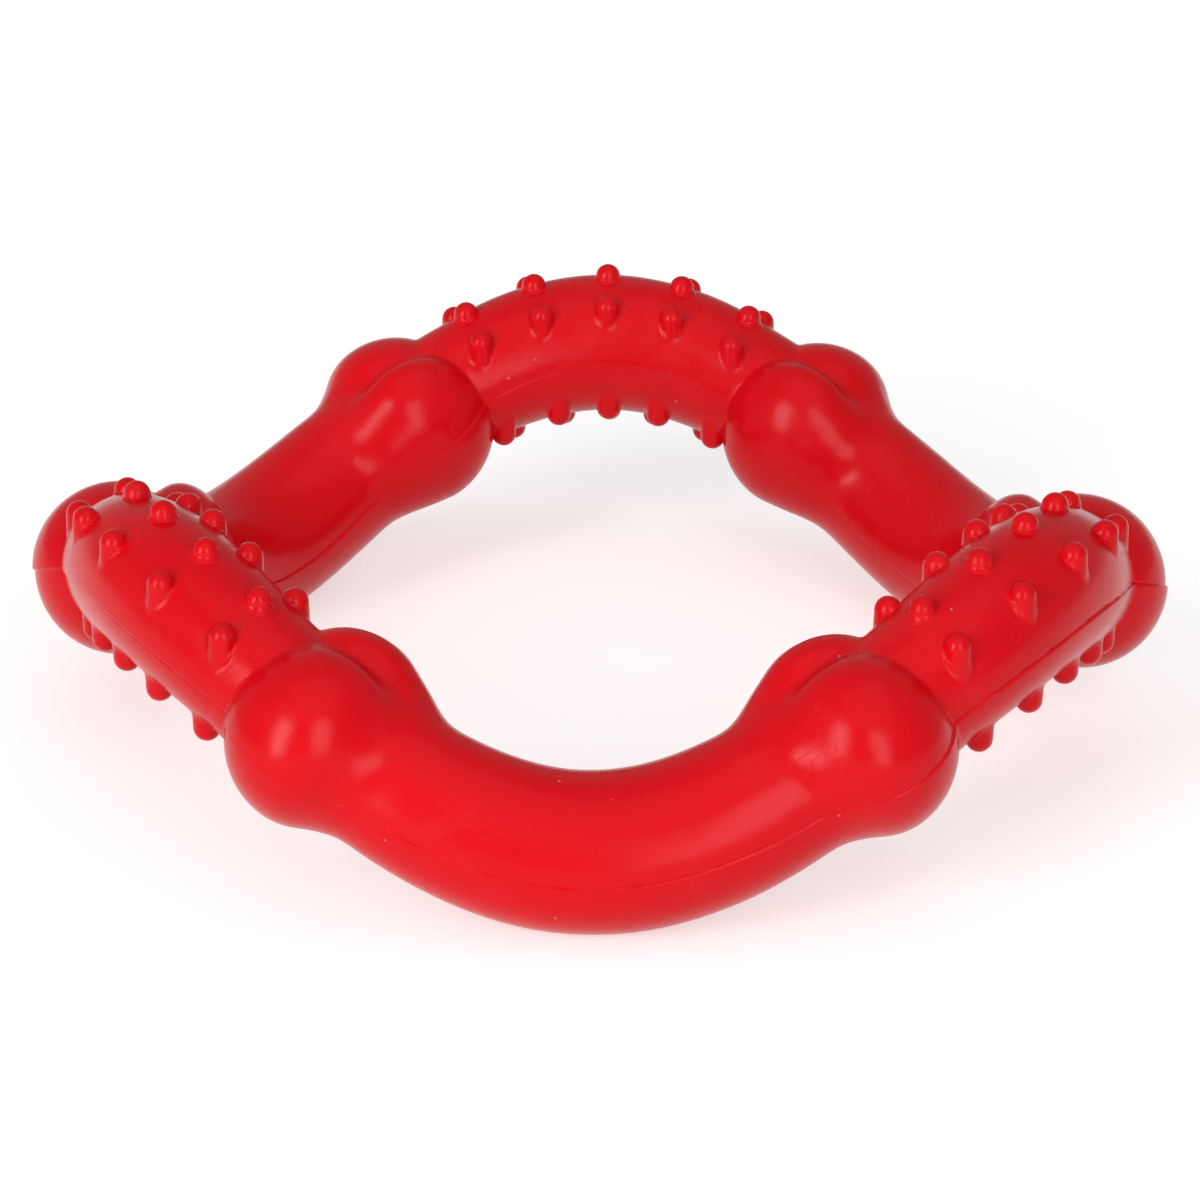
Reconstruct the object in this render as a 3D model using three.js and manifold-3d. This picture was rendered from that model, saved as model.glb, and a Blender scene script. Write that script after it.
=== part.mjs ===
import * as THREE from 'three';
import { mergeVertices } from 'three/addons/utils/BufferGeometryUtils.js';
import Module from 'manifold-3d';

// Chewing ring for dogs, moulded in solid natural rubber. Three smooth bones take turns with three
// studded arches round a wavy ring: the bones dip to the floor and the arches rise between them.
// Millimetres, +Z up. The origin is on the ring's axis, in the plane that the bones rest on.

const wasm = await Module();
wasm.setup();

// The ring's middle line
const ringRadius = 61.3; // mean distance of the rubber's middle line from the axis
const archSpread = 1.0; // the arches stand this much further out, and the bones this much further in
const waveHeight = 10.85; // the arches rise and the bones dip by this much
const boneCount = 3;

// The bones
const shaftRadius = 9.95; // at the middle of a bone
const neckRadius = 8.95; // at its knobs
const knobAngle = 31.7; // from a bone's middle to its knobs, in degrees about the axis
const outerKnobRadius = 11.6;
const outerKnobOut = 2.45; // the outer knob's centre lies this far outside the middle line
const outerKnobOver = 0.3; // and this far above it
const outerKnobSlimness = 1; // its half width across the ring, as a share of its radius
const innerKnobRadius = 11.1;
const innerKnobOut = -5.15;
const innerKnobOver = 0.6;
const innerKnobSlimness = 0.71;
const shaftHalfShare = 0.86; // length of a knob's half toward the shaft, as a share of its radius
const archHalfShare = 0.985; // the same for its half toward the arch
const knobFillet = 4.6; // softness of the hollow between a knob and the shaft
const filletStart = 0.75; // share of the turn to the knobs at which that hollow starts to fade
const restDepth = 0.45; // depth of the small flat that each bone rests on

// The studded arches
const archRadius = 9.85; // at the middle of an arch
const seatRadius = 8.2; // at its plain ends inside the bones
const seatPastKnob = 1.5; // an arch's plain end starts this far past the knobs' centres
const seamGap = 0.3; // between an arch and the bone that it is seated in

// The studs: columns along an arch, and rows round it
const columnCount = 5;
const studMargin = 12.85; // from the knobs' centres to the nearest column, along the middle line
const rowAngles = [48, 90, 131, -54, -90, -133]; // degrees from the outer side, up and over
const rowSpreads = [1.03, 0.98, 1, 1.07, 1, 1.16]; // each row's length, as a share
const studHeight = 2.1;
const studRadius = 1.75;
const studFlare = 0.5; // the foot is this much wider than the stud
const studRoot = 0.9; // length below the arch's surface, inside the rubber

// Fineness of the facets
const boneSides = 20;
const boneRings = 15;
const ringCrowding = 0.3; // the rings lie closer together toward the knobs
const domeSides = 16;
const domeRings = 4;
const domeLap = 0.03; // share of the knob's radius by which a dome starts inside the shaft
const leastSoftness = 1e-6; // keeps the softness above zero at the knobs
const archSides = 16;
const archSteps = 12;
const socketSteps = 3;
const knobFacets = 32;
const studSides = 7;

const red = 0xda1219;

// Values that follow from the sizes above
const radians = THREE.MathUtils.degToRad;
const wavePeriod = (2 * Math.PI) / boneCount;
const halfPeriod = wavePeriod / 2;
const restHeight = waveHeight + shaftRadius - restDepth; // height of the wave's middle plane
const knobTurn = radians(knobAngle);
const largestKnob = Math.max(outerKnobRadius, innerKnobRadius);
const seatTurn = knobTurn + seatPastKnob / ringRadius;
const socketEndTurn = knobTurn + (1.2 * largestKnob) / (ringRadius - archSpread - archRadius);

// A point of the middle line. The turn is measured about the axis from a bone's middle.
function middleLine(turn) {
  const swing = Math.cos(boneCount * turn);
  const radius = ringRadius - archSpread * swing;
  const height = restHeight - waveHeight * swing;
  return new THREE.Vector3(radius * Math.cos(turn), radius * Math.sin(turn), height);
}

// The directions along, out of and over the middle line at a turn
function frameAt(turn) {
  const step = 1e-4;
  const along = middleLine(turn + step).sub(middleLine(turn - step)).normalize();
  const out = new THREE.Vector3(Math.cos(turn), Math.sin(turn), 0);
  out.addScaledVector(along, -out.dot(along)).normalize();
  const over = new THREE.Vector3().crossVectors(out, along).normalize();
  return { along, out, over };
}

// Solids for joining and cutting, and back to a geometry
function toSolid(geometry) {
  const bare = geometry.clone();
  bare.deleteAttribute('normal');
  bare.deleteAttribute('uv');
  const merged = mergeVertices(bare, 1e-5);
  return new wasm.Manifold(new wasm.Mesh({
    numProp: 3,
    vertProperties: Float32Array.from(merged.attributes.position.array),
    triVerts: Uint32Array.from(merged.index.array),
  }));
}

function toGeometry(solid) {
  const mesh = solid.getMesh();
  const geometry = new THREE.BufferGeometry();
  geometry.setAttribute('position', new THREE.BufferAttribute(mesh.vertProperties, 3));
  geometry.setIndex(new THREE.BufferAttribute(mesh.triVerts, 1));
  geometry.computeVertexNormals();
  return geometry;
}

// A closed skin over a row of rings that all have the same number of points
function loft(rings) {
  const sides = rings[0].length;
  const first = new THREE.Vector3();
  const last = new THREE.Vector3();
  rings[0].forEach((point) => first.addScaledVector(point, 1 / sides));
  rings[rings.length - 1].forEach((point) => last.addScaledVector(point, 1 / sides));
  const points = [...rings.flat(), first, last];
  const firstIndex = points.length - 2;
  const lastIndex = points.length - 1;
  const lastRing = (rings.length - 1) * sides;
  const faces = [];
  for (let side = 0; side < sides; side += 1) {
    const next = (side + 1) % sides;
    faces.push(firstIndex, side, next);
    for (let ring = 0; ring < rings.length - 1; ring += 1) {
      const near = ring * sides;
      const far = near + sides;
      faces.push(near + side, far + next, near + next);
      faces.push(near + side, far + side, far + next);
    }
    faces.push(lastIndex, lastRing + next, lastRing + side);
  }
  const geometry = new THREE.BufferGeometry();
  geometry.setAttribute('position', new THREE.Float32BufferAttribute(
    points.flatMap((point) => point.toArray()), 3));
  geometry.setIndex(faces);
  return geometry;
}

// An arch's radius at a turn from a bone's middle, on either side of the bone
function archRadiusAt(turn) {
  const share = (Math.abs(turn) - halfPeriod) / (halfPeriod - seatTurn);
  return THREE.MathUtils.lerp(archRadius, seatRadius, share * share);
}

// The ring of points round the middle line at a turn, where reachAt gives the distance to each
function sectionRing(turn, sides, reachAt) {
  const centre = middleLine(turn);
  const { out, over } = frameAt(turn);
  return Array.from({ length: sides }, (_, side) => {
    const angle = (2 * Math.PI * side) / sides;
    const direction = out.clone().multiplyScalar(Math.cos(angle))
      .addScaledVector(over, Math.sin(angle));
    return centre.clone().addScaledVector(direction, reachAt(centre, direction));
  });
}

// An arch's round and tapered rubber between two turns, or the room for it with a gap round it
function archBody(start, end, steps, gap) {
  return toSolid(loft(Array.from({ length: steps + 1 }, (_, step) => {
    const turn = THREE.MathUtils.lerp(start, end, step / steps);
    return sectionRing(turn, archSides, () => archRadiusAt(turn) + gap);
  })));
}

// The two knobs at one end of a bone. Each is two half ellipsoids that meet at its centre.
function knobsAt(turn) {
  const centre = middleLine(turn);
  const { along, out, over } = frameAt(turn);
  const turned = new THREE.Matrix4().makeBasis(out, along, over);
  const knob = (radius, slimness, outward, upward) => ({
    centre: centre.clone().addScaledVector(out, outward).addScaledVector(over, upward),
    shaftHalf: new THREE.Vector3(radius * slimness, radius * shaftHalfShare, radius),
    archHalf: new THREE.Vector3(radius * slimness, radius * archHalfShare, radius),
    turned,
  });
  return [
    knob(outerKnobRadius, outerKnobSlimness, outerKnobOut, outerKnobOver),
    knob(innerKnobRadius, innerKnobSlimness, innerKnobOut, innerKnobOver),
  ];
}

// How far a ray from the shaft's side runs before it leaves a knob, or 0 where it misses the knob
function distanceOut(origin, direction, knob) {
  const back = knob.turned.clone().invert();
  const from = origin.clone().sub(knob.centre).applyMatrix4(back).divide(knob.shaftHalf);
  const ray = direction.clone().applyMatrix4(back).divide(knob.shaftHalf);
  const a = ray.dot(ray);
  const b = from.dot(ray);
  const c = from.dot(from) - 1;
  const root = b * b - a * c;
  return root < 0 ? 0 : Math.max(0, (Math.sqrt(root) - b) / a);
}

// The larger of two radii, with a hollow of the given softness where they are nearly alike
function softMax(first, second, softness) {
  const blend = Math.max(0, 1 - Math.abs(first - second) / softness);
  return Math.max(first, second) + (softness * blend * blend) / 4;
}

// A knob's half toward the arch, a dome that starts just short of the knob's centre
function knobDome(knob, way) {
  const profile = [new THREE.Vector2(0, -domeLap), new THREE.Vector2(1, -domeLap)];
  for (let ring = 0; ring <= domeRings; ring += 1) {
    const angle = (Math.PI / 2) * (ring / domeRings);
    profile.push(new THREE.Vector2(Math.cos(angle), Math.sin(angle)));
  }
  profile[profile.length - 1].x = 0;
  const geometry = new THREE.LatheGeometry(profile, domeSides);
  if (way < 0) {
    geometry.rotateX(Math.PI);
  }
  geometry.scale(...knob.archHalf);
  geometry.applyMatrix4(knob.turned);
  geometry.translate(knob.centre.x, knob.centre.y, knob.centre.z);
  return toSolid(geometry);
}

function bone() {
  const rings = Array.from({ length: boneRings }, (_, ring) => {
    const step = (2 * ring) / (boneRings - 1) - 1;
    const share = step + ringCrowding * (step - step ** 3);
    const knobs = knobsAt(share < 0 ? -knobTurn : knobTurn);
    const shaft = THREE.MathUtils.lerp(shaftRadius, neckRadius, share * share);
    const fade = THREE.MathUtils.smoothstep(Math.abs(share), filletStart, 1);
    const softness = knobFillet * (1 - fade) + leastSoftness;
    return sectionRing(share * knobTurn, boneSides, (centre, direction) => {
      const reach = Math.max(...knobs.map((knob) => distanceOut(centre, direction, knob)));
      return softMax(shaft, reach, softness);
    });
  });
  let solid = toSolid(loft(rings));

  // Each end gets its domes and a socket that takes the plain end of an arch
  for (const way of [-1, 1]) {
    knobsAt(way * knobTurn).forEach((knob) => {
      solid = solid.add(knobDome(knob, way));
    });
    const [start, end] = [way * seatTurn, way * socketEndTurn].sort((a, b) => a - b);
    solid = solid.subtract(archBody(start, end, socketSteps, seamGap));
  }

  // The flat on the underside lies in the plane of the origin
  const reach = 2 * (ringRadius + largestKnob);
  const floor = new THREE.BoxGeometry(reach, reach, reach).translate(ringRadius, 0, -reach / 2);
  return toGeometry(solid.subtract(toSolid(floor)));
}

// One stud, standing on the arch's surface at z = 0, with its foot flared into the rubber
function stud() {
  const domeHeight = studHeight - studRadius;
  const dome = (angle) => new THREE.Vector2(
    studRadius * Math.cos(radians(angle)),
    domeHeight + studRadius * Math.sin(radians(angle)),
  );
  const profile = [
    new THREE.Vector2(0, -studRoot),
    new THREE.Vector2(studRadius + studFlare, -studFlare / 2),
    dome(8),
    dome(50),
    new THREE.Vector2(0, studHeight),
  ];
  return new THREE.LatheGeometry(profile, studSides).rotateX(Math.PI / 2);
}

// The room that a knob takes, with the seam's gap round it
function knobRoom(knob) {
  const half = knob.archHalf.clone().addScalar(seamGap);
  const geometry = new THREE.SphereGeometry(1, knobFacets, knobFacets / 2);
  geometry.scale(...half);
  geometry.applyMatrix4(knob.turned);
  geometry.translate(knob.centre.x, knob.centre.y, knob.centre.z);
  return toSolid(geometry);
}

function studdedArch() {
  const lastColumn = halfPeriod - knobTurn - studMargin / ringRadius;
  const studs = rowAngles.flatMap((rowAngle, row) => (
    Array.from({ length: columnCount }, (_, column) => {
      const share = (2 * column) / (columnCount - 1) - 1;
      const turn = halfPeriod + share * rowSpreads[row] * lastColumn;
      const { along, out, over } = frameAt(turn);
      const up = out.clone().multiplyScalar(Math.cos(radians(rowAngle)))
        .addScaledVector(over, Math.sin(radians(rowAngle)));
      const foot = middleLine(turn).addScaledVector(up, archRadiusAt(turn));
      const stand = new THREE.Matrix4().makeBasis(along, up.clone().cross(along), up);
      stand.setPosition(foot);
      return toSolid(stud().applyMatrix4(stand));
    })
  ));

  // A stud that stands at a crease is cut back by the knob that bulges over it
  let trimmed = wasm.Manifold.union(studs);
  for (const turn of [knobTurn, wavePeriod - knobTurn]) {
    for (const knob of knobsAt(turn)) {
      trimmed = trimmed.subtract(knobRoom(knob));
    }
  }
  const endTurn = seatTurn + seamGap / ringRadius;
  const body = archBody(endTurn, wavePeriod - endTurn, archSteps, 0);
  return toGeometry(body.add(trimmed));
}

function redRubber() {
  return new THREE.MeshStandardMaterial({ color: red, roughness: 0.38, metalness: 0 });
}

function place(name, geometry, turn) {
  const mesh = new THREE.Mesh(geometry, redRubber());
  mesh.name = name;
  mesh.rotation.z = turn;
  return mesh;
}

// Each bone is followed, anticlockwise from above, by its arch
const ring = new THREE.Group();
const frontTurn = -Math.PI / 2;
const boneGeometry = bone();
const archGeometry = studdedArch();
const boneNames = ['bone_front', 'bone_back_right', 'bone_back_left'];
const archNames = ['studded_arch_right', 'studded_arch_back', 'studded_arch_left'];
boneNames.forEach((name, index) => {
  const turn = frontTurn + index * wavePeriod;
  ring.add(place(name, boneGeometry, turn));
  ring.add(place(archNames[index], archGeometry, turn));
});

export default ring;
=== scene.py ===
import math
import bpy
import bmesh
from mathutils import Matrix, Vector, noise


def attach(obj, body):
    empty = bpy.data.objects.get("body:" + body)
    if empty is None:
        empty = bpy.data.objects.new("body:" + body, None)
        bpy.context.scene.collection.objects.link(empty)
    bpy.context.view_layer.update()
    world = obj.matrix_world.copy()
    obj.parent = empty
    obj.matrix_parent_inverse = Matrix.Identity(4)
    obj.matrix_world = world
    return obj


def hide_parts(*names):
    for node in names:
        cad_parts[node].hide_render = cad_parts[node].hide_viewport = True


# Chewing ring for dogs, moulded in solid red rubber: three smooth bones and three studded arches
# take turns round a wavy ring. Sizes are in millimetres and become metres when a mesh is stored.
# A turn is an angle about the ring's upright axis. Around is the angle about the rubber's own
# middle line, from the outer side of the ring up and over.

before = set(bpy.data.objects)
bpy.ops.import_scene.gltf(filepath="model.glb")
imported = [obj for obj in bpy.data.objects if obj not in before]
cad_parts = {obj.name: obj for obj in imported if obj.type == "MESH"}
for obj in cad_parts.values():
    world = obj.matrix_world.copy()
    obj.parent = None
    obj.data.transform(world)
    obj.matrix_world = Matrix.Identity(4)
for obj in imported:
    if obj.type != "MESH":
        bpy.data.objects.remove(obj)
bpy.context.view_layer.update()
mm = 0.001
near = 1e-4        # places closer than this are the same
tiny = 1e-6        # keeps a divisor off zero

ringLine = {
    "radius": 61.3,
    "spread": 1.0,                 # arches stand this much further out, bones this much further in
    "wave": 10.85,                 # arches rise and bones dip by this much
    "height": 20.35,               # of the wave's middle plane above the floor
    "count": 3,                    # bones, and as many arches
    "front": math.radians(-90),    # turn of the first bone's middle
}
period = 2 * math.pi / ringLine["count"]


def sectionAt(turn):
    # centre of the rubber's section and its directions along, out of and over the middle line
    swing = ringLine["count"] * (turn - ringLine["front"])
    radius = ringLine["radius"] - ringLine["spread"] * math.cos(swing)
    height = ringLine["height"] - ringLine["wave"] * math.cos(swing)
    out = Vector((math.cos(turn), math.sin(turn), 0))
    onward = Vector((-out.y, out.x, 0))
    climb = ringLine["count"] * math.sin(swing)
    along = out * (climb * ringLine["spread"]) + onward * radius
    along.z = climb * ringLine["wave"]
    along.normalize()
    centre = out * radius
    centre.z = height
    out = (out - along * out.dot(along)).normalized()
    return centre, along, out, out.cross(along)


def softMax(first, second, softness):
    blend = max(0.0, 1 - abs(first - second) / softness)
    return max(first, second) + softness * blend * blend / 4


def smoothStep(low, high, value):
    share = min(1.0, max(0.0, (value - low) / (high - low)))
    return share * share * (3 - 2 * share)


# The skin that all six pieces share

skin = {
    "mouldShift": Vector((-0.17, -0.03, 0)),   # each mould half sat this far to its own side
    "seamWidth": 0.2,                          # half width of the parting line
    "seamSegments": 6,
    "flash": 0.26,                             # how far it stands out here and dips there
    "innerShare": 0.3,                         # of the flash on the ring's inner side
    "flashSizes": (1.7, 6.1),                  # of its fine and its coarse unevenness
    "coarseShare": 0.8,
    "dip": 0.5,                                # how much more it dips than it stands out
    "waviness": 0.085,                         # slow unevenness of the surface
    "wavinessSize": 11.0,
    "flatSoftness": 0.25,                      # roundness of the rim of the flats below
}


def skinPoint(turn, around, radius):
    centre, along, out, over = sectionAt(turn)
    away = out * math.cos(around) + over * math.sin(around)
    point = centre + away * radius
    aboveSeam = math.sin(around) * radius
    lump = noise.noise(point / skin["wavinessSize"]) * skin["waviness"]
    if abs(aboveSeam) < skin["seamWidth"]:
        ridge = (1 - (aboveSeam / skin["seamWidth"]) ** 2) ** 2
        fine, coarse = (noise.noise(point / size) for size in skin["flashSizes"])
        rough = fine + skin["coarseShare"] * coarse - skin["dip"]
        share = 1.0 if math.cos(around) > 0 else skin["innerShare"]
        lump += skin["flash"] * share * ridge * max(-1.0, rough)
    half = smoothStep(-skin["seamWidth"], skin["seamWidth"], aboveSeam) * 2 - 1
    point += away * lump + skin["mouldShift"] * half
    point.z = softMax(point.z, 0, skin["flatSoftness"])
    return point


def spunTube(middle, halfTurn, steps, sides, radius):
    # a plain closed tube about the upright axis, whose skin is then pushed to the real shape
    bm = bmesh.new()
    bmesh.ops.create_circle(bm, segments=sides, radius=radius)
    place = (Matrix.Rotation(middle - halfTurn, 4, "Z")
             @ Matrix.Translation((ringLine["radius"], 0, 0))
             @ Matrix.Rotation(math.radians(90), 4, "X"))
    bmesh.ops.transform(bm, matrix=place, verts=bm.verts[:])
    bmesh.ops.spin(bm, geom=bm.edges[:], cent=(0, 0, 0), axis=(0, 0, 1), angle=2 * halfTurn,
                   steps=steps, use_merge=False)
    seams = [edge for edge in bm.edges if max(abs(vert.co.z) for vert in edge.verts) < near]
    bmesh.ops.bevel(bm, geom=seams, offset=skin["seamWidth"], offset_type="OFFSET",
                    segments=skin["seamSegments"], profile=0.5, affect="EDGES", material=-1)
    ends = [edge for edge in bm.edges if edge.is_boundary]
    bmesh.ops.holes_fill(bm, edges=ends, sides=0)
    return bm


def placeOnTube(co, middle):
    # turn from the piece's middle and angle around, of a point of the plain tube
    turn = math.atan2(co.y, co.x) - middle
    turn = (turn + math.pi) % (2 * math.pi) - math.pi
    return turn, math.atan2(co.z, math.hypot(co.x, co.y) - ringLine["radius"])


def storePiece(bm, name, node, material):
    bmesh.ops.recalc_face_normals(bm, faces=bm.faces[:])
    bmesh.ops.scale(bm, vec=(mm, mm, mm), verts=bm.verts[:])
    for face in bm.faces:
        face.smooth = True
    mesh = bpy.data.meshes.new(name)
    bm.to_mesh(mesh)
    bm.free()
    piece = bpy.data.objects.new(name, mesh)
    bpy.context.scene.collection.objects.link(piece)
    mesh.materials.append(material)
    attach(piece, "root")
    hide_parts(node)
    print("made", name, "with", len(mesh.vertices), "points")
    return piece


# The bones, each with an outer and an inner knob at both ends

bone = {
    "shaftRadius": 9.95,
    "neckRadius": 8.95,
    "knobTurn": math.radians(31.7),       # from the bone's middle to its knobs
    "filletStart": 0.75,                  # share of the knobs' turn where the fillets start to fade
    "filletEnd": 0.09,                    # turn past the knobs where the fillets are gone
    "lobeFillet": 0.4,                    # softness where the two knobs meet
    "grooveDepth": 1.1,                   # of the groove pressed in between them
    "grooveWidth": 3.2,
    "grooveRise": 2.5,                    # height above the shaft at which it has its full depth
    "farOutside": 17.0,                   # radius from which the search for the skin starts
    "searchSteps": 40,
    "searchEnd": 0.002,
    "creaseReach": 12.5,                  # how far past the knobs the crease may be
    "creaseSteps": 24,
    "crowding": 0.3,                      # how much closer together the steps are at the knobs
    "sides": 160,
    "skinSteps": 200,
    "socketSteps": 4,
}

# Each knob is an egg: its half toward the arch is longer than its half toward the shaft. Its
# fillet is the softness of the hollow between it and the shaft.
outerKnob = {"radius": 11.6, "out": 2.45, "over": 0.3, "slimness": 1.0, "fillet": 3.4}
innerKnob = {"radius": 11.1, "out": -5.15, "over": 0.6, "slimness": 0.71, "fillet": 6.0}
knobHalves = {"arch": 0.985, "shaft": 0.86}

# The arches: plain ends seated in the bones, and rows of studs between them

arch = {
    "radius": 9.85,                       # in its middle
    "seatRadius": 8.2,                    # at its ends inside the bones
    "seatPastKnob": 1.5,                  # distance from the knobs' middle to those ends
    "seam": 0.02,                         # room between an arch and the bones
    "columns": 5,                         # of studs
    "lastColumn": math.radians(16.3),     # turn from the arch's middle
    "rowAngles": (48, 90, 131, -54, -90, -133),
    "rowSpreads": (1.03, 0.98, 1, 1.07, 1, 1.16),
    "sides": 128,
    "steps": 132,
}

stud = {
    "radius": 1.75,
    "height": 2.1,
    "draft": 0.03,                 # how much the wall spreads for each millimetre down
    "spread": 0.1,                 # the most that it spreads
    "foot": 0.3,                   # radius of the fillet at its foot
    "apron": 0.25,                 # bare skin between the fillet and the arch's own faces
    "softness": 0.35,              # of the fillet where the dome meets the slope above it
    "wallSteps": 3,
    "footSteps": 4,
    "domeSteps": 7,
    "rimEvenness": 0.5,            # how evenly the points of a hole's rim are spread round it
    "domeEnd": math.radians(85),   # angle up the dome of its last loop, which one face closes
    "groundSteps": 8,
    "groundEnd": 0.005,
}


def knobAt(turn, knob):
    # a knob's centre, its direction along, and for each half what makes the egg a unit ball
    centre, along, out, over = sectionAt(turn)
    radius = knob["radius"]
    halves = [Matrix((out / (radius * knob["slimness"]), along / (radius * knobHalves[half]),
                      over / radius)) for half in ("arch", "shaft")]
    return centre + out * knob["out"] + over * knob["over"], along, halves


def gapTo(knob, point):
    # about how far a point is outside a knob
    centre, along, halves = knob
    away = point - centre
    shrink = halves[0] if away.dot(along) > 0 else halves[1]
    unit = shrink @ away
    length = max(unit.length, tiny)
    return (length - 1) * length / max((shrink.transposed() @ unit).length, tiny)


farKnobs = [knobAt(ringLine["front"] + bone["knobTurn"], knob) for knob in (outerKnob, innerKnob)]
seatTurn = bone["knobTurn"] + arch["seatPastKnob"] / ringLine["radius"]
archHalfTurn = period / 2 - seatTurn


def archRadius(turn):
    # at a turn from the arch's middle
    return arch["radius"] + (arch["seatRadius"] - arch["radius"]) * (turn / archHalfTurn) ** 2


def boneRadius(turn, around):
    # At a turn from the bone's middle, the same on both sides of it. A point comes in from far
    # outside by its gap to the joined shaft and knobs, again and again until no gap is left.
    centre, along, out, over = sectionAt(ringLine["front"] + turn)
    direction = out * math.cos(around) + over * math.sin(around)
    share = min(1.0, turn / bone["knobTurn"])
    shaft = bone["shaftRadius"] + (bone["neckRadius"] - bone["shaftRadius"]) * share * share
    fade = smoothStep(bone["filletStart"] * bone["knobTurn"],
                      bone["knobTurn"] + bone["filletEnd"], turn)
    radius = bone["farOutside"]
    for _ in range(bone["searchSteps"]):
        outer, inner = (gapTo(knob, centre + direction * radius) for knob in farKnobs)
        groove = max(0.0, 1 - abs(outer - inner) / bone["grooveWidth"]) ** 2
        groove *= bone["grooveDepth"] * smoothStep(0, bone["grooveRise"], radius - shaft)
        outer = -softMax(-outer, shaft - radius, outerKnob["fillet"] * (1 - fade) + tiny)
        inner = -softMax(-inner, shaft - radius, innerKnob["fillet"] * (1 - fade) + tiny)
        gap = groove - softMax(-outer, -inner, bone["lobeFillet"])
        radius -= gap
        if abs(gap) < bone["searchEnd"]:
            break
    return radius


def creaseTurn(around):
    # where the knobs come down to the arch that is seated in them
    low = bone["knobTurn"]
    high = low + bone["creaseReach"] / ringLine["radius"]
    for _ in range(bone["creaseSteps"]):
        middle = (low + high) / 2
        if boneRadius(middle, around) > archRadius(period / 2 - middle) + arch["seam"]:
            low = middle
        else:
            high = middle
    return low


boneSkin = {}      # turn and radius of every skin point, alike on both halves of all three bones


def bonePlace(share, around, span):
    key = (round(share, 5), round(around, 5))
    if key not in boneSkin:
        if ("crease", key[1]) not in boneSkin:
            boneSkin["crease", key[1]] = creaseTurn(around)
        crease = boneSkin["crease", key[1]]
        if share > 1 + near:
            turn = crease + (seatTurn - crease) * (share - 1) / (span - 1)
            boneSkin[key] = (turn, archRadius(period / 2 - turn) + arch["seam"])
        else:
            crowding = bone["crowding"]
            turn = crease * ((1 + crowding) * share - crowding * share ** 3)
            boneSkin[key] = (turn, boneRadius(turn, around))
    return boneSkin[key]


def makeBone(name, node, middle, material):
    steps = bone["skinSteps"] + 2 * bone["socketSteps"]
    span = steps / bone["skinSteps"]
    bm = spunTube(middle, span, steps, bone["sides"], bone["shaftRadius"])
    for vert in bm.verts:
        share, around = placeOnTube(vert.co, middle)
        turn, radius = bonePlace(abs(share), around, span)
        vert.co = skinPoint(middle + math.copysign(turn, share), around, radius)
        vert.tag = abs(abs(share) - 1) < near
    for edge in bm.edges:
        # the lips round the arches stay sharp
        edge.smooth = not all(vert.tag for vert in edge.verts)
    return storePiece(bm, name, node, material)


def studDistances():
    # distances of the loops from a stud's axis, from the rim of its hole to the tip
    radius, spread, foot = stud["radius"], stud["spread"], stud["foot"]
    distances = [radius + spread + foot + stud["apron"]]
    for i in range(stud["footSteps"] + 1):
        turned = math.radians(90) * i / stud["footSteps"]
        distances.append(radius + spread + foot * math.cos(turned))
    for i in range(1, stud["wallSteps"] + 1):
        distances.append(radius + spread * (1 - i / stud["wallSteps"]))
    for i in range(1, stud["domeSteps"] + 1):
        distances.append(radius * math.cos(stud["domeEnd"] * i / stud["domeSteps"]))
    return distances


def studHeight(distance, tip, ground):
    # height of a stud's skin at a distance from its axis, over ground of the given height
    radius, foot = stud["radius"], stud["foot"]
    equator = tip - radius
    if distance < radius:
        wall = equator + math.sqrt(radius ** 2 - distance ** 2)
    else:
        wall = equator - (distance - radius) / stud["draft"]
    drop = min(1.0, max(0.0, (equator - ground) / foot))
    gap = min(1.0, max(0.0, (distance - radius - stud["spread"]) / foot))
    fillet = foot * (1 - math.sqrt(1 - (1 - gap) ** 2)) * drop
    return softMax(ground + fillet, wall, stud["softness"])


def walkAlong(rim):
    # the points of a hole's rim, in the order in which they follow each other
    edge = rim[0]
    loop = [edge.verts[0]]
    while edge.other_vert(loop[-1]) is not loop[0]:
        loop.append(edge.other_vert(loop[-1]))
        edge = next(other for other in loop[-1].link_edges
                    if other.is_boundary and other is not edge)
    return loop


def groundBelow(middle, spot, turn, around):
    # turn, angle and height of the bare skin above or below a spot, from a guess close by
    nudge = 1e-3
    for _ in range(stud["groundSteps"]):
        here = skinPoint(middle + turn, around, archRadius(turn))
        onward = skinPoint(middle + turn + nudge, around, archRadius(turn + nudge)) - here
        across = skinPoint(middle + turn, around + nudge, archRadius(turn)) - here
        miss = spot - here
        if miss.xy.length < stud["groundEnd"]:
            break
        area = onward.x * across.y - onward.y * across.x
        turn += nudge * (miss.x * across.y - miss.y * across.x) / area
        around += nudge * (onward.x * miss.y - onward.y * miss.x) / area
    return turn, around, skinPoint(middle + turn, around, archRadius(turn)).z


def studAxis(middle, turn, around):
    # studs stand upright, as the mould's halves part up and down: the tip, and which way it is
    foot = skinPoint(middle + turn, around, archRadius(turn))
    centre = sectionAt(middle + turn)[0]
    tip = foot + (foot - centre).normalized() * (stud["height"] - stud["radius"])
    way = math.copysign(1, tip.z - centre.z)
    tip.z += way * stud["radius"]
    return tip, way, centre.z


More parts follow.
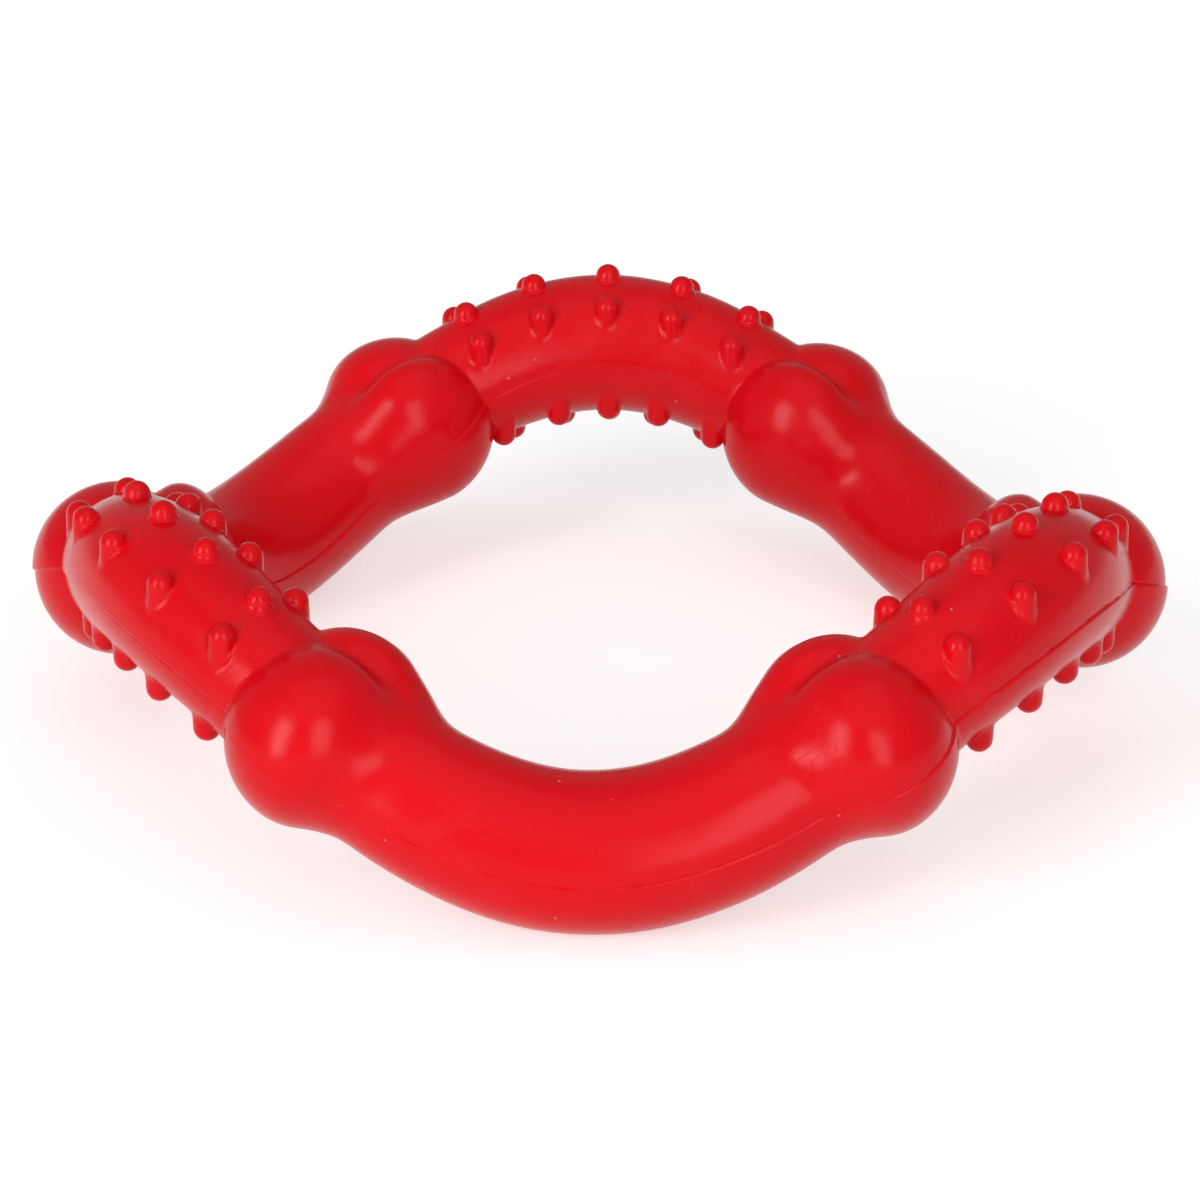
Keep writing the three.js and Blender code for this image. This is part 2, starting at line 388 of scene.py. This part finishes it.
def growStud(bm, order, rim, middle, turn, around):
    # the rim of a hole in the skin is drawn up into a stud, one loop after another
    tip, way, _ = studAxis(middle, turn, around)
    loop = walkAlong(rim)
    count = len(loop)

    def angleOf(vert):
        return math.atan2(vert.co.y - tip.y, vert.co.x - tip.x)

    own = [angleOf(loop[0])]
    for vert in loop[1:]:
        own.append(own[-1] + math.remainder(angleOf(vert) - own[-1], 2 * math.pi))
    onward = 2 * math.pi / count if own[-1] > own[0] else -2 * math.pi / count
    own.sort(reverse=onward < 0)
    start = sum(angle - onward * i for i, angle in enumerate(own)) / count
    even = [start + onward * i for i in range(count)]
    for i, vert in enumerate(loop):
        vert[order] = i
    grounds = [(turn, around, 0)] * count
    clear = [False] * count           # whether the stud's skin is well off the bare skin
    for step, distance in enumerate(studDistances()):
        if step > 0:
            grown = bmesh.ops.extrude_edge_only(bm, edges=rim)["geom"]
            rim = [item for item in grown if isinstance(item, bmesh.types.BMEdge)
                   and item.is_boundary]
            loop = [item for item in grown if isinstance(item, bmesh.types.BMVert)]
        evenness = stud["rimEvenness"] if step == 0 else 1.0
        for vert in loop:
            i = vert[order]
            angle = own[i] + (even[i] - own[i]) * evenness
            spot = tip + Vector((math.cos(angle), math.sin(angle), 0)) * distance
            if not clear[i]:
                grounds[i] = groundBelow(middle, spot, *grounds[i][:2])
            spot.z = grounds[i][2]
            if step > 0:
                spot.z = way * studHeight(distance, way * tip.z, way * spot.z)
                clear[i] = way * (spot.z - grounds[i][2]) > 2 * stud["softness"] + stud["foot"]
            vert.co = spot
    bmesh.ops.edgeloop_fill(bm, edges=rim)


def studPlaces():
    # turn from the arch's middle and angle around
    for row, spread in zip(arch["rowAngles"], arch["rowSpreads"]):
        for column in range(arch["columns"]):
            share = 2 * column / (arch["columns"] - 1) - 1
            yield share * spread * arch["lastColumn"], math.radians(row)


def makeArch(name, node, middle, material):
    halfTurn = archHalfTurn - arch["seam"] / ringLine["radius"]
    bm = spunTube(middle, halfTurn, arch["steps"], arch["sides"], arch["radius"])
    order = bm.verts.layers.int.new("order")
    for vert in bm.verts:
        turn, around = placeOnTube(vert.co, middle)
        vert.co = skinPoint(middle + turn, around, archRadius(turn))

    places = list(studPlaces())
    axes = [studAxis(middle, turn, around) for turn, around in places]
    reach = studDistances()[0]
    covered = []
    for face in bm.faces:
        centre = face.calc_center_median()
        if len(face.verts) == 4 and any(
                way * (centre.z - level) > 0 and (centre - tip).xy.length < reach
                for tip, way, level in axes):
            covered.append(face)
    bmesh.ops.delete(bm, geom=covered, context="FACES")
    rims = [[] for _ in axes]
    for edge in bm.edges:
        if edge.is_boundary:
            halfway = (edge.verts[0].co + edge.verts[1].co) / 2
            nearest = min(range(len(axes)), key=lambda i: (halfway - axes[i][0]).length)
            rims[nearest].append(edge)
    for rim, (turn, around) in zip(rims, places):
        growStud(bm, order, rim, middle, turn, around)
    return storePiece(bm, name, node, material)


# Red rubber, made of nodes. A wire is one socket, and sums on wires add their own Math nodes.

class Wire:
    def __init__(self, maker, socket):
        self.maker = maker
        self.socket = socket

    def sum(self, operation, first, second):
        return self.maker.node("ShaderNodeMath", {"operation": operation}, {0: first, 1: second})

    def __add__(self, other):
        return self.sum("ADD", self, other)

    def __radd__(self, other):
        return self.sum("ADD", other, self)

    def __sub__(self, other):
        return self.sum("SUBTRACT", self, other)

    def __rsub__(self, other):
        return self.sum("SUBTRACT", other, self)

    def __mul__(self, other):
        return self.sum("MULTIPLY", self, other)

    def __rmul__(self, other):
        return self.sum("MULTIPLY", other, self)


class MaterialMaker:
    def __init__(self, name):
        self.material = bpy.data.materials.new(name)
        self.material.use_nodes = True
        self.tree = self.material.node_tree
        self.shader = self.tree.nodes["Principled BSDF"]

    def node(self, kind, settings=None, sockets=None, output=0):
        made = self.tree.nodes.new(kind)
        for setting, value in (settings or {}).items():
            setattr(made, setting, value)
        for socket, value in (sockets or {}).items():
            self.feed(made.inputs[socket], value)
        return Wire(self, made.outputs[output])

    def feed(self, socket, value):
        if isinstance(value, Wire):
            self.tree.links.new(value.socket, socket)
        else:
            socket.default_value = value

    def noise(self, place, scale, detail=2.0, roughness=0.5, distortion=0.0):
        return self.node("ShaderNodeTexNoise", {}, {
            "Vector": place, "Scale": scale, "Detail": detail, "Roughness": roughness,
            "Distortion": distortion})

    def between(self, value, low, high):
        # 0 below low, 1 above high, and smooth between them
        return self.node("ShaderNodeMapRange", {"interpolation_type": "SMOOTHSTEP"}, {
            "Value": value, "From Min": low, "From Max": high, "To Min": 0.0, "To Max": 1.0})

    def blend(self, factor, first, second):
        return self.node("ShaderNodeMix", {"data_type": "RGBA"}, {
            "Factor": factor, 6: first, 7: second}, output=2)


rubberLook = {
    "red": (0.80, 0.0025, 0.009, 1),
    "deepRed": (0.68, 0.002, 0.007, 1),
    "bloomed": (0.80, 0.03, 0.04, 1),        # the haze that old rubber gets
    "dust": (0.86, 0.30, 0.26, 1),
    "roughness": 0.24,
    "gloss": 0.165,
    "refraction": 1.52,
    "toneSize": 34.0,                         # in millimetres, as are the next ones
    "bloomSize": 13.0,
    "grainSize": 0.45,
    "peelSize": 2.6,
    "scuffSize": 5.0,
    "scuffPatchSize": 16.0,
    "bendSize": 9.0,                          # of the bends in the scuffs
    "bend": 6.0,
    "speckSpacing": 3.4,
    "reliefDepth": 1.0,
}


def redRubber():
    look = rubberLook
    maker = MaterialMaker("redRubber")
    place = maker.node("ShaderNodeTexCoord", output=3)

    def perMetre(size):
        return 1 / (size * mm)

    tone = maker.between(maker.noise(place, perMetre(look["toneSize"]), 3.0), 0.3, 0.7)
    haze = maker.noise(place, perMetre(look["bloomSize"]), 5.0, 0.6, 0.8)
    bloom = maker.between(haze, 0.5, 0.78)
    grain = maker.noise(place, perMetre(look["grainSize"]), 3.0, 0.6)
    peel = maker.noise(place, perMetre(look["peelSize"]), 2.0)

    # fine scuffs are the edges of drawn-out cells, and only show in patches
    bent = maker.node("ShaderNodeVectorMath", {"operation": "ADD"}, {
        0: place, 1: maker.node("ShaderNodeVectorMath", {"operation": "SCALE"}, {
            0: maker.node("ShaderNodeTexNoise", {}, {
                "Vector": place, "Scale": perMetre(look["bendSize"]), "Detail": 2.0}, output=1),
            "Scale": look["bend"] * mm})})
    drawn = maker.node("ShaderNodeMapping", {}, {
        "Vector": bent, "Rotation": (0.4, 0.9, 0.7), "Scale": (1.0, 5.0, 2.2)})
    edge = maker.node("ShaderNodeTexVoronoi", {"feature": "DISTANCE_TO_EDGE"}, {
        "Vector": drawn, "Scale": perMetre(look["scuffSize"])})
    patches = maker.noise(place, perMetre(look["scuffPatchSize"]), 2.0)
    scuff = (1 - maker.between(edge, 0.008, 0.03)) * maker.between(patches, 0.52, 0.66)

    # specks of dust: one cell in many holds one
    cells = {"Vector": place, "Scale": perMetre(look["speckSpacing"])}
    distance = maker.node("ShaderNodeTexVoronoi", {"feature": "F1"}, cells)
    lot = maker.node("ShaderNodeSeparateColor", {}, {
        0: maker.node("ShaderNodeTexVoronoi", {"feature": "F1"}, cells, output=1)})
    speck = (1 - maker.between(distance, 0.035, 0.075)) * maker.between(lot, 0.80, 0.82)

    colour = maker.blend(tone * 0.5, look["red"], look["deepRed"])
    colour = maker.blend(bloom * 0.22 + scuff * 0.08, colour, look["bloomed"])
    colour = maker.blend(speck * 0.6, colour, look["dust"])
    roughness = look["roughness"] + bloom * 0.09 + scuff * 0.14 + speck * 0.3 + (grain - 0.5) * 0.1
    height = grain * 0.022 + peel * 0.08 - scuff * 0.01 + speck * 0.12

    bump = maker.node("ShaderNodeBump", {}, {
        "Strength": 0.5, "Distance": look["reliefDepth"] * mm, "Height": height})
    maker.feed(maker.shader.inputs["Base Color"], colour)
    maker.feed(maker.shader.inputs["Roughness"], roughness)
    maker.feed(maker.shader.inputs["Normal"], bump)
    maker.shader.inputs["IOR"].default_value = look["refraction"]
    maker.shader.inputs["Specular IOR Level"].default_value = look["gloss"]
    return maker.material


rubber = redRubber()
boneNames = ("bone_front", "bone_back_right", "bone_back_left")
archNames = ("studded_arch_right", "studded_arch_back", "studded_arch_left")
for index in range(ringLine["count"]):
    middle = ringLine["front"] + index * period
    makeBone("rubber_" + boneNames[index], boneNames[index], middle, rubber)
    makeArch("rubber_" + archNames[index], archNames[index], middle + period / 2, rubber)


# Camera at the photograph's angle

photoView = {
    "elevation": 23.26,
    "azimuth": 1.07,
    "roll": 0.355,
    "distance": 571.2,
    "lens": 129.9,
    "target": (0.27, -8.14, 20.55),
}


def makeCamera():
    elevation = math.radians(photoView["elevation"])
    azimuth = math.radians(photoView["azimuth"])
    back = Vector((math.sin(azimuth) * math.cos(elevation),
                   -math.cos(azimuth) * math.cos(elevation), math.sin(elevation)))
    right = Vector((0, 0, 1)).cross(back).normalized()
    up = back.cross(right)
    facing = Matrix((right, up, back)).transposed().to_4x4()
    roll = Matrix.Rotation(math.radians(photoView["roll"]), 4, "Z")
    place = (Vector(photoView["target"]) + back * photoView["distance"]) * mm
    lens = bpy.data.cameras.new("photoCamera")
    lens.lens = photoView["lens"]
    lens.sensor_width = 36
    lens.clip_start = 0.01
    camera = bpy.data.objects.new("photoCamera", lens)
    camera.matrix_world = Matrix.Translation(place) @ facing @ roll
    bpy.context.scene.collection.objects.link(camera)
    bpy.context.scene.camera = camera


# Pale floor, which looks white to the camera and to reflections but keeps the shadow

studio = {
    "floorSize": 12.0,
    "floorColour": (0.8, 0.8, 0.8, 1),
    "floorRoughness": 0.9,
    "floorLift": 0.55,        # its own light where it is seen or reflected
    "worldStrength": 0.3,
    "softboxDistance": 2.5,
}

# direction seen from the ring in degrees, size in metres and brightness
softboxes = {
    "leftBox": {"azimuth": -41, "elevation": 20, "size": (0.8, 1.8), "watts": 30.0},
    "frontBox": {"azimuth": 19, "elevation": 20, "size": (1.0, 2.0), "watts": 21.5},
    "topBox": {"azimuth": 20, "elevation": 75, "size": (2.5, 2.5), "watts": 7.5},
}


def seenOrReflected(maker):
    path = maker.tree.nodes.new("ShaderNodeLightPath")
    kinds = ("Is Camera Ray", "Is Glossy Ray", "Is Transmission Ray")
    camera, glossy, through = (Wire(maker, path.outputs[kind]) for kind in kinds)
    return camera + glossy + through


def makeFloor():
    bm = bmesh.new()
    bmesh.ops.create_grid(bm, x_segments=4, y_segments=4, size=studio["floorSize"])
    mesh = bpy.data.meshes.new("floor")
    bm.to_mesh(mesh)
    bm.free()
    floor = bpy.data.objects.new("floor", mesh)
    bpy.context.scene.collection.objects.link(floor)
    maker = MaterialMaker("paleFloor")
    lifted = maker.tree.nodes.new("ShaderNodeBsdfPrincipled")
    for shader in (maker.shader, lifted):
        shader.inputs["Base Color"].default_value = studio["floorColour"]
        shader.inputs["Roughness"].default_value = studio["floorRoughness"]
        shader.inputs["Specular IOR Level"].default_value = 0.0
    lifted.inputs["Emission Color"].default_value = (1, 1, 1, 1)
    lifted.inputs["Emission Strength"].default_value = studio["floorLift"]
    mix = maker.node("ShaderNodeMixShader", {}, {
        0: seenOrReflected(maker), 1: Wire(maker, maker.shader.outputs[0]),
        2: Wire(maker, lifted.outputs[0])})
    maker.feed(maker.tree.nodes["Material Output"].inputs["Surface"], mix)
    mesh.materials.append(maker.material)


def makeSoftbox(name, box):
    lamp = bpy.data.lights.new(name, "AREA")
    lamp.shape = "RECTANGLE"
    lamp.size, lamp.size_y = box["size"]
    lamp.energy = box["watts"]
    azimuth = math.radians(box["azimuth"])
    elevation = math.radians(box["elevation"])
    away = Vector((math.sin(azimuth) * math.cos(elevation),
                   -math.cos(azimuth) * math.cos(elevation), math.sin(elevation)))
    light = bpy.data.objects.new(name, lamp)
    light.location = Vector((0, 0, ringLine["height"] * mm)) + away * studio["softboxDistance"]
    light.rotation_euler = away.to_track_quat("Z", "Y").to_euler()
    bpy.context.scene.collection.objects.link(light)


def makeWorld():
    world = bpy.data.worlds.new("studio")
    world.use_nodes = True
    tree = world.node_tree
    background = tree.nodes["Background"]
    background.inputs["Color"].default_value = (1, 1, 1, 1)
    background.inputs["Strength"].default_value = studio["worldStrength"]
    bpy.context.scene.world = world


makeCamera()
makeFloor()
for name, box in softboxes.items():
    makeSoftbox(name, box)
makeWorld()
bpy.context.scene.view_settings.view_transform = "Standard"
print("camera, floor and lights are in place")
